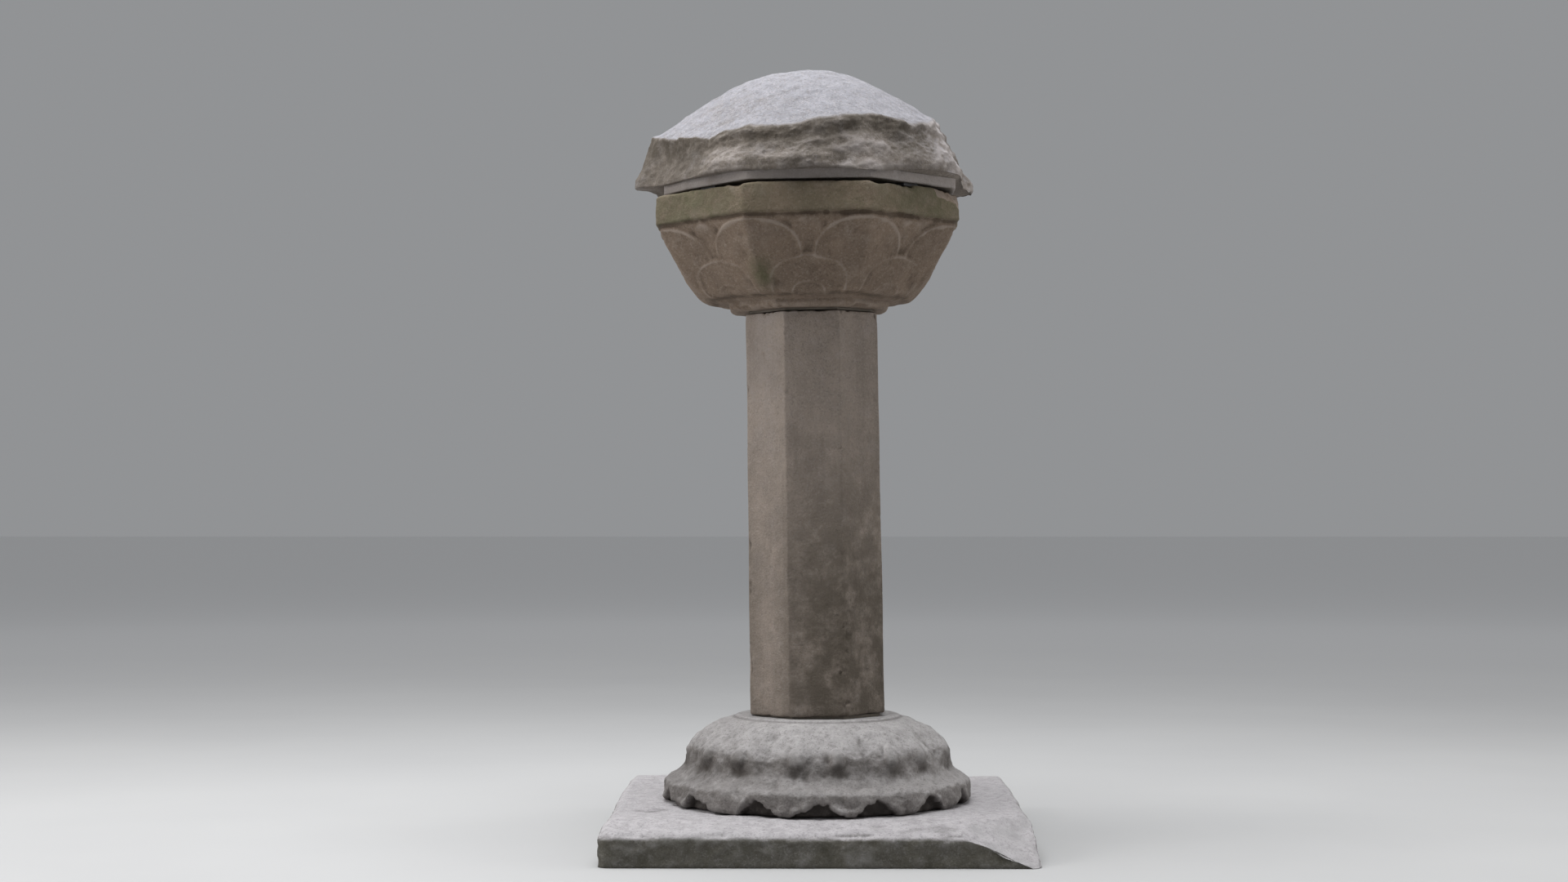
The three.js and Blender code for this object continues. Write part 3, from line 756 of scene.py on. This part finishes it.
def bowl_shell(at):
    """Rows of the bowl's section from the bore in its foot, round the outside, to the lip."""
    belly = curve_through([
        (0.149, at.body_foot), (0.173, at.body_foot + 12 * MM), (0.197, at.body_foot + 38 * MM),
        (0.214, at.body_foot + 66 * MM), (at.rim - 5 * MM, at.rim_foot),
    ], 6)
    under_end = (at.ring - 25 * MM, at.foot)
    return np.vstack([
        trace([(at.bore, at.foot), under_end], HIDDEN_STEP),
        trace([under_end, (at.ring - 12 * MM, at.foot), (at.ring - 2 * MM, at.foot + 4 * MM),
               (at.ring, at.foot + 8 * MM), (at.ring - 1 * MM, at.body_foot - 2 * MM), *belly,
               (at.rim - 5 * MM, at.rim_foot + 1 * MM), (at.rim, at.rim_foot + 4 * MM),
               (at.rim, at.rim_top - 3 * MM), (at.rim - 4 * MM, at.rim_top),
               (at.lip + 2 * MM, at.rim_top)], STEP),
    ])


def bowl_hollow(at):
    """Rows of the bowl's section from the lip down the basin and back to the bore's foot."""
    basin = curve_through([
        (0.112, at.basin), (0.148, at.basin + 15 * MM), (0.17, at.basin + 64 * MM),
        (at.basin_wall, at.rebate),
    ], 6)
    return np.vstack([
        trace([(at.lip + 2 * MM, at.rim_top), (at.lip, at.rim_top), (at.lip, at.rebate),
               (at.basin_wall, at.rebate)], 2 * MM),
        trace([*basin[::-1], (at.bore, at.basin), (at.bore, at.foot)], HIDDEN_STEP),
    ])


CORNER_REACH = 0.24  # how far from the axis the petals on the corners are set out
FACE_REACH = 0.21  # and those on the faces
SQUARENESS = 2.3  # of the petals' round heads: at 2 they would be ellipses


def petal_field(across, up, half_width, tall, point=0.0):
    """How far a place lies inside a round-headed petal, whose tip may be drawn up to a point."""
    tip = 1 + point * hill(across, 0, 0.2 * half_width)
    rise = np.maximum(up, 0) / (tall * tip)
    out = np.abs(across / half_width) ** SQUARENESS + rise**SQUARENESS
    return (1 - out ** (1 / SQUARENESS)) * half_width


def bead(field, inset, width=2.6 * MM):
    """A round rib along a petal's edge, this far inside it."""
    return hill(field, inset, width)


def bowl_petals(bearing, upright):
    """Petals: eight upper ones on the corners, eight lower ones on the faces, tips between them.

    Returns how far they stand out, and where their outlines run.
    """
    corner = from_middle(bearing, FACETS, HALF_FACET) * CORNER_REACH
    middle = from_middle(bearing, FACETS) * FACE_REACH
    upper = petal_field(corner, upright - 60 * MM, 84 * MM, 59 * MM)
    lower = petal_field(middle, upright - 14 * MM, 70 * MM, 47 * MM, 0.06)
    inner = petal_field(middle, upright - 4 * MM, 34 * MM, 22 * MM)
    tips = petal_field(middle, upright - 98 * MM, 26 * MM, 24 * MM, 0.2)

    carved = 2.0 * MM * smoothstep(tips, 0, 6 * MM)
    on_upper = smoothstep(upper, -1.5 * MM, 2 * MM)
    carved = mix(carved, 2.6 * MM + 3 * MM * smoothstep(upper, 0, 60 * MM), on_upper)
    carved = carved + 1.7 * MM * bead(upper, 2 * MM) + 0.6 * MM * bead(upper, 22 * MM, 3.5 * MM)
    on_lower = smoothstep(lower, -1.5 * MM, 2 * MM)
    carved = mix(carved, 4.4 * MM + 3 * MM * smoothstep(lower, 0, 50 * MM), on_lower)
    carved = carved + 2.0 * MM * bead(lower, 2 * MM)
    carved = carved - 0.9 * MM * smoothstep(inner, -2 * MM, 2 * MM) + 1.6 * MM * bead(inner, 1.5 * MM)
    vein = hill(middle, 0, 1.6 * MM) * smoothstep(upright, 22 * MM, 30 * MM)
    vein = vein * smoothstep(lower, 0, 6 * MM)
    outlines = bead(upper, 2 * MM) * (1 - on_lower) + bead(lower, 2 * MM) + bead(inner, 1.5 * MM)
    return carved + 0.9 * MM * vein, np.clip(outlines, 0, 1)


def bowl_wear(points, height, at):
    """Gentle waves all over, and chips along the rim's edges and the foot."""
    worn = rough(points, 0.09, 41) * 2.2 * MM + rough(points, 0.022, 42, 4) * 0.9 * MM
    rim_edges = hill(height, at.rim_top, 6 * MM) + 0.6 * hill(height, at.rim_foot, 4 * MM)
    edge = rim_edges + 0.8 * hill(height, at.foot, 6 * MM)
    chips = np.minimum(rough(points, 0.045, 43) + 0.2, 0) * 9 * MM * edge
    return worn + chips


def chip_rim_corner(points, at, outside):
    """Breaks a piece off the rim at the right: the new points, how much is lost, and its grain."""
    facing = np.array([0.72, -0.42, 0.55])
    chipped = rough(points, 0.035, 44, 5) * 5 * MM
    beyond = (points - np.array([at.rim, -0.42 * at.rim, at.rim_top])) @ facing
    lost = np.maximum(beyond + 17 * MM + chipped, 0) * outside
    return points - lost[..., None] * facing, lost, chipped


def bowl_marks(points, bearing, height, depth, outlines, in_body, at):
    """Relief with pale outlines, painted shade at the foot and a pale ring; and how green the rim is."""
    kept = smoothstep(lumps(points, 0.05, 45), -0.5, 0.6)
    above_ring = height - at.body_foot
    # Painted shade on the lowest part of the body, where it turns under towards the ring.
    low_down = smoothstep(above_ring, 0, 5 * MM) * (1 - smoothstep(above_ring, 12 * MM, 38 * MM))
    on_ring = 1 - smoothstep(above_ring, -4 * MM, 0)
    relief = relief_of(depth, 2.4 * MM) + 0.45 * outlines * kept * in_body
    relief = np.clip(relief - 0.35 * low_down + 0.4 * on_ring, -1, 1)
    on_rim = smoothstep(height, at.rim_foot, at.rim_foot + 4 * MM)
    green_rim = on_rim * (0.45 + 0.4 * hill(np.abs(bearing), 50 * DEGREE, 22 * DEGREE))
    return relief, green_rim


def bowl():
    """An octagonal bowl with two rows of petals under a plain rim, and a basin with a bore."""
    at = bowl_levels()
    shell = bowl_shell(at)
    rows = np.vstack([shell, bowl_hollow(at)])
    inside = np.arange(len(rows))[:, None] >= len(shell)
    rows = np.where(inside, rows, softened(rows, 1))
    bearing, radius, height = grids_of(rows)
    on_mouth = (rows[:, 1:] > at.rim_top - 2 * MM) & ~inside
    eight = smoothstep(rows[:, :1], 0.06, 0.12) * ~inside
    eight = np.where(on_mouth, smoothstep(rows[:, :1], at.lip, at.rim - 8 * MM), eight)
    radius = radius * mix(1, octagon(bearing, 190), eight)
    points = around(radius, height)
    outside = np.where(on_mouth, eight, smoothstep(rows[:, :1], 0.11, 0.13) * ~inside)

    upright = height - at.body_foot + 2 * MM * lumps(points, 0.09, 40)
    in_body = smoothstep(height - at.body_foot, 0, 14 * MM)
    in_body = in_body * smoothstep(at.rim_foot - height, -2 * MM, 3 * MM)
    carved, outlines = bowl_petals(bearing, upright)
    groove = 2.4 * MM * hill(height, at.rim_foot - 0.5 * MM, 2.5 * MM) * ~inside
    carved = carved * in_body - groove
    depth = (blurred(carved, 1) + bowl_wear(points, height, at)) * outside
    points = points + normals_of(points) * depth[..., None]
    points, lost, chipped = chip_rim_corner(points, at, outside)
    points[..., 0] -= 4 * MM * outside  # this stone sits a little to the left of the shaft
    points[..., 2] = np.clip(points[..., 2], at.foot, at.rim_top)

    relief, green_rim = bowl_marks(points, bearing, height, depth, outlines, in_body, at)
    fresh = smoothstep(lost, 0, 2 * MM)
    damp_corner = hill(bearing, -21 * DEGREE, 4 * DEGREE) * hill(upright, 38 * MM, 20 * MM)
    marks = {
        "relief": mix(relief, 0.5 + chipped / (6 * MM), fresh),
        "stain_and_shade": np.clip(green_rim + 1.2 * damp_corner, 0, 1) * outside * (1 - fresh),
    }
    faces = grid_faces(*radius.shape)
    stone_piece("bowl_stone", points, faces, marks, "bowl", "font", "bowl_granite", LEAN)


# --- Cover ------------------------------------------------------------------------------------

# The outline of the broken roof, going round: bearing in degrees; radius and height at the top of
# the side; radius and height at its foot. Lengths in mm, heights above the eave's own foot.
OUTLINE = np.array([
    (-112, 254, 94, 283, 0), (-104, 250, 94, 262, 0), (-96, 255, 94, 260, 3), (-91, 259, 94, 270, 5),
    (-88, 261, 93, 288, 5), (-84, 261, 92, 291, 5), (-79, 257, 88, 284, 4), (-75, 252, 83, 266, 2),
    (-68, 246, 77, 256, 0), (-59, 242, 75, 251, 0), (-49, 239, 69, 253, 0), (-41, 236, 64, 259, 1),
    (-36, 236, 71, 262, 2), (-30, 236, 75, 267, 2), (-24, 237, 80, 268, 1), (-15, 237, 74, 260, 0),
    (-8, 238, 73, 266, 1), (4, 239, 80, 270, 3), (12, 240, 87, 265, 1), (19, 240, 93, 269, -3),
    (26, 241, 95, 268, -4), (33, 242, 90, 262, 3), (45, 241, 83, 266, 8), (58, 236, 90, 272, 9),
    (66, 229, 99, 272, 9), (71, 226, 106, 268, 10), (80, 219, 115, 262, 8), (86, 217, 119, 262, 5),
    (92, 222, 115, 268, 2), (98, 236, 104, 284, 0), (104, 250, 95, 296, 0), (110, 254, 94, 290, 0),
])
DOME, SIDE, UNDER, BAND, BOTTOM = range(5)  # the cover's kinds of surface, from the top down
WHOLE_TURN = 8 * DEGREE  # the unbroken eave's flats are turned this far from the bowl's


def dome_drop(radius):
    """How far the dome's surface lies below its top at a radius."""
    line = curve_through([
        (0, 0), (0.055, 0.0015), (0.1, 0.0145), (0.164, 0.045), (0.217, 0.078), (0.254, 0.102),
        (0.3, 0.126),
    ])
    return np.interp(radius, line[:, 0], line[:, 1])


def eave_edges(bearing, eave_foot):
    """The side's edges at its top and foot, going round, and where the eave is left whole."""
    degrees = bearing / DEGREE
    whole = np.clip(smoothstep(degrees, 104, 112) + smoothstep(-degrees, 106, 114), 0, 1)
    eight = octagon(bearing + WHOLE_TURN)
    columns = [np.interp(degrees, OUTLINE[:, 0], OUTLINE[:, k]) * MM for k in range(1, 5)]
    ring = around(0.25 + 0 * bearing, 0)
    ragged = rough(ring, 0.05, 51, 5) * 4 * MM * (1 - whole)
    return SimpleNamespace(
        whole=whole,
        top=mix(columns[0] + ragged, 0.245 * eight, whole),
        top_height=mix(columns[1] + ragged, 94 * MM, whole) + eave_foot,
        foot=mix(columns[2] + 0.6 * ragged, 0.274 * eight, whole),
        foot_height=columns[3] * (1 - whole) + eave_foot,
    )


def row_shares(count):
    """Evenly spaced shares for a band's rows, from just after 0 up to 1."""
    return np.linspace(0, 1, count)[1:, None]


def dome_band(eave, top):
    """Radius and height of the dome's rows, sinking to meet the eave's uneven top edge."""
    share = row_shares(92)
    sag = top - dome_drop(eave.top) - eave.top_height
    even_sag = blurred(sag + np.zeros((3, 1)), 300)[:1]
    sinking = even_sag * smoothstep(share, 0.45, 1.02) ** 1.2
    sinking = sinking + (sag - even_sag) * smoothstep(share, 0.94, 1)
    radius = share * eave.top
    return radius, top - dome_drop(radius) - sinking


def side_band(eave):
    """Radius and height of the side's rows: a bowed slope that ends in an upright face."""
    share = row_shares(44)
    slope_share = np.minimum(1.2 * share, 1)
    bowed = 5 * MM * np.sin(math.pi * share) * (1 - eave.whole)
    radius = mix(eave.top, eave.foot, slope_share) - bowed
    return radius, mix(eave.top_height, eave.foot_height, share)


def cover_surface(bearing, eave, seat_foot, seat_top, top):
    """Grids of radius, height and kind of surface, from the seat's middle up to the dome's."""
    seat_edge = 0.244 * octagon(bearing, 190)
    band_edge = np.minimum(seat_edge, eave.foot - 3 * MM)
    band_top = np.maximum(seat_top, eave.foot_height)
    under, band = row_shares(10), row_shares(9)
    bottom = np.linspace(1, 0, 24)[1:-1, None]
    bands = [
        (*dome_band(eave, top), DOME),
        (*side_band(eave), SIDE),
        (mix(eave.foot, band_edge, under), mix(eave.foot_height, seat_top, under), UNDER),
        (band_edge + 0 * band, mix(band_top, seat_foot, band), BAND),
        (bottom * band_edge, seat_foot, BOTTOM),
    ]
    radius = np.vstack([part[0] for part in bands])
    height = np.vstack([part[1] + 0 * part[0] for part in bands])
    kind = np.vstack([part[2] + 0 * part[0] for part in bands])
    return radius[::-1], height[::-1], kind[::-1]


def fracture(points, dressed):
    """Crags and splinters of the broken side, fainter where a mason has dressed it."""
    crags = craggy(points * np.array([0.8, 0.8, 1.5]), 0.095, 52, 6) * 6.5 * MM
    splinters = craggy(points * np.array([1, 1, 1.4]), 0.03, 53, 4) * 1.1 * MM
    return crags * (1 - 0.75 * dressed) + splinters * (1 - 0.6 * dressed)


def fracture_marks(relief, broken, dressed, degrees, shaded):
    """The fracture's marks: painted light on the right slope, pale in two low patches, and dirt elsewhere with
    painted shade growing towards the top.
    """
    # Painted light: the right slope, which faces up and to the right, is made paler and left clean.
    lit = hill(degrees, 76, 24) * broken
    pale_low_patches = (0.6 * hill(degrees, -30, 10) + hill(degrees, 21, 12)) * (1 - shaded) * broken
    return {
        "relief": relief + 0.9 * lit + 0.5 * pale_low_patches - 0.35 * dressed * broken,
        "stain_and_shade": broken * (0.65 + 0.35 * shaded) * (1 - lit) * (1 - pale_low_patches),
        "split": broken * (1 - lit),
    }


def closed_at_ends(points, seat_foot):
    """A grid's vertices and faces, with fans that close the seat's middle and the dome's."""
    rows, columns = points.shape[:2]
    middles = [[0, 0, seat_foot], [0, 0, points[-1, :, 2].mean()]]
    vertices = np.vstack([points.reshape(-1, 3), middles])
    faces = grid_faces(rows, columns, closed=False)
    seat_middle, dome_middle = rows * columns, rows * columns + 1
    last = (rows - 1) * columns
    for k in range(columns):
        beside = (k + 1) % columns
        faces.append([seat_middle, beside, k])
        faces.append([dome_middle, last + k, last + beside])
    return vertices, faces


def cover():
    """A roof-like stone: a flat seat, a broken eave left whole at its back, and a worn dome."""
    low, high = upright_box("cover_stone")
    seat_foot, top = low.z, high.z - 4 * MM
    seat_top = seat_foot + 16 * MM
    bearing = bearings()[None, :]
    degrees = bearing / DEGREE
    eave = eave_edges(bearing, seat_top - 2 * MM)
    radius, height, kind = cover_surface(bearing, eave, seat_foot, seat_top, top)
    points = around(radius, height)

    broken = blurred((kind == SIDE) * (1 - eave.whole), 2)
    dressed = smoothstep(-degrees, 36, 46) * (1 - eave.whole)
    split_stone = fracture(points, dressed)
    chiselled = lumps(points * np.array([1, 1, 0.22]), 0.012, 56) * 1.0 * MM * dressed
    weathered = rough(points, 0.1, 54) * 2.6 * MM + rough(points, 0.024, 55, 4) * 1.1 * MM
    exposed = np.where(kind <= SIDE, 1.0, 0.25)
    depth = broken * (split_stone + chiselled) + weathered * exposed
    depth = np.where(kind == BOTTOM, np.minimum(depth, 0), depth)
    points = points + normals_of(points) * depth[..., None]
    points[..., 0] -= 6 * MM * (kind <= SIDE)  # the dome and its eave sit a little to the left
    points[..., 2] = np.clip(points[..., 2], seat_foot, high.z)

    # Painted shade: the fracture darkens towards its overhanging top edge.
    shaded = (height - eave.foot_height) / (eave.top_height - eave.foot_height)
    shaded = smoothstep(shaded, 0.25, 0.9)
    relief = relief_of(broken * split_stone, 7 * MM) + 0.25 * relief_of(weathered, 3 * MM)
    marks = fracture_marks(relief, broken, dressed, degrees, shaded)
    pale_band = 0.75 + 0.3 * rough(points, 0.05, 57)
    marks["relief"] = np.where(kind == BAND, pale_band, marks["relief"])
    marks = {label: np.append(values.ravel(), [0, 0]) for label, values in marks.items()}
    vertices, faces = closed_at_ends(points, seat_foot)
    stone_piece("cover_rock", vertices, faces, marks, "cover_stone", "cover", "cover_granite", LEAN)


# --- Pieces that keep their CAD shapes --------------------------------------------------------

def dress_cad_nodes():
    """Gives the beds, lead and bronze their materials, with their edges eased."""
    finishes = {
        "mortar": mortar(),
        "lead": metal("old_lead", (0.07, 0.072, 0.075), (0.12, 0.12, 0.122), 0.6, 1.2 * MM),
        "bronze": metal("browned_bronze", (0.36, 0.24, 0.12), (0.12, 0.16, 0.1), 0.32, 0.3 * MM),
    }
    for row in frame["record"]["subparts"]:
        if row["material_slot"] in finishes:
            piece = frame["nodes"][row["node"]]
            piece.data.materials.clear()
            piece.data.materials.append(finishes[row["material_slot"]])
            ease = piece.modifiers.new("eased edges", "BEVEL")
            ease.width = 0.4 * MM
            ease.segments = 2
            ease.limit_method = "ANGLE"


# --- Stage ------------------------------------------------------------------------------------

def floor_paint(tall):
    """Pale matt paint, slightly uneven, that grows paler far away."""
    paint = Nodes("floor_paint")
    shade = paint.blend(paint.noise(0.8, 3), tint((0.4, 0.4, 0.4)), tint((0.46, 0.46, 0.455)))
    distance = paint.add("ShaderNodeVectorMath")
    distance.operation = "LENGTH"
    paint.plug(distance.inputs[0], paint.place)
    far = paint.ramp(distance.outputs["Value"], 1.5 * tall, 6 * tall)
    shade = paint.blend(far, shade, tint((0.9, 0.9, 0.9)))
    paint.plug(paint.shader.inputs["Base Color"], shade)
    paint.shader.inputs["Roughness"].default_value = 0.9
    return paint.material


def add_floor(tall):
    """A wide flat floor a hair under the slab."""
    reach = 40 * tall
    corners = [(-reach, -reach, 0), (reach, -reach, 0), (reach, reach, 0), (-reach, reach, 0)]
    mesh = bpy.data.meshes.new("floor")
    mesh.from_pydata(corners, [], [(0, 1, 2, 3)])
    floor = bpy.data.objects.new("floor", mesh)
    floor.location.z = cad_low.z - 0.2 * MM
    bpy.context.scene.collection.objects.link(floor)
    mesh.materials.append(floor_paint(tall))


def add_world():
    """Faint, slightly blue light from all round."""
    world = bpy.data.worlds.new("studio")
    world.use_nodes = True
    background = world.node_tree.nodes["Background"]
    background.inputs["Color"].default_value = (0.95, 0.97, 1, 1)
    background.inputs["Strength"].default_value = 0.3
    bpy.context.scene.world = world
    bpy.context.scene.view_settings.view_transform = "Standard"


def add_lamps(tall):
    """Soft square lamps aimed at the font; places and sizes are shares of its height."""
    middle = Vector((0, 0, 0.45 * tall))
    for name, place, size, power, colour in (
        ("sky", (-0.3, -0.15, 2.7), 2.4, 185, (0.97, 0.98, 1.0)),
        ("left", (-2.6, -0.5, 1.3), 1.4, 56, (1.0, 0.98, 0.97)),
        ("right", (2.6, -0.1, 1.2), 1.4, 30, (1.0, 0.98, 0.96)),
    ):
        lamp = bpy.data.lights.new(name, "AREA")
        lamp.size = size * tall
        lamp.energy = power
        lamp.color = colour
        holder = bpy.data.objects.new(name, lamp)
        holder.location = Vector(place) * tall
        holder.rotation_euler = (middle - holder.location).to_track_quat("-Z", "Y").to_euler()
        bpy.context.scene.collection.objects.link(holder)


def add_camera(tall):
    """The photograph's viewpoint: nearly three heights in front, below the middle."""
    lens = bpy.data.cameras.new("camera")
    lens.lens = 50.9
    camera = bpy.data.objects.new("camera", lens)
    camera.location = (-0.014 * tall, -2.907 * tall, 0.419 * tall)
    camera.rotation_euler = (91.91 * DEGREE, 0, 0.59 * DEGREE)
    bpy.context.scene.collection.objects.link(camera)
    bpy.context.scene.camera = camera


def stage():
    """A pale floor, soft light from above and both sides, and the camera in front."""
    tall = cad_high.z - cad_low.z
    add_floor(tall)
    add_world()
    add_lamps(tall)
    add_camera(tall)


ground_slab()
lotus_base()
shaft()
bowl()
cover()
dress_cad_nodes()
stage()
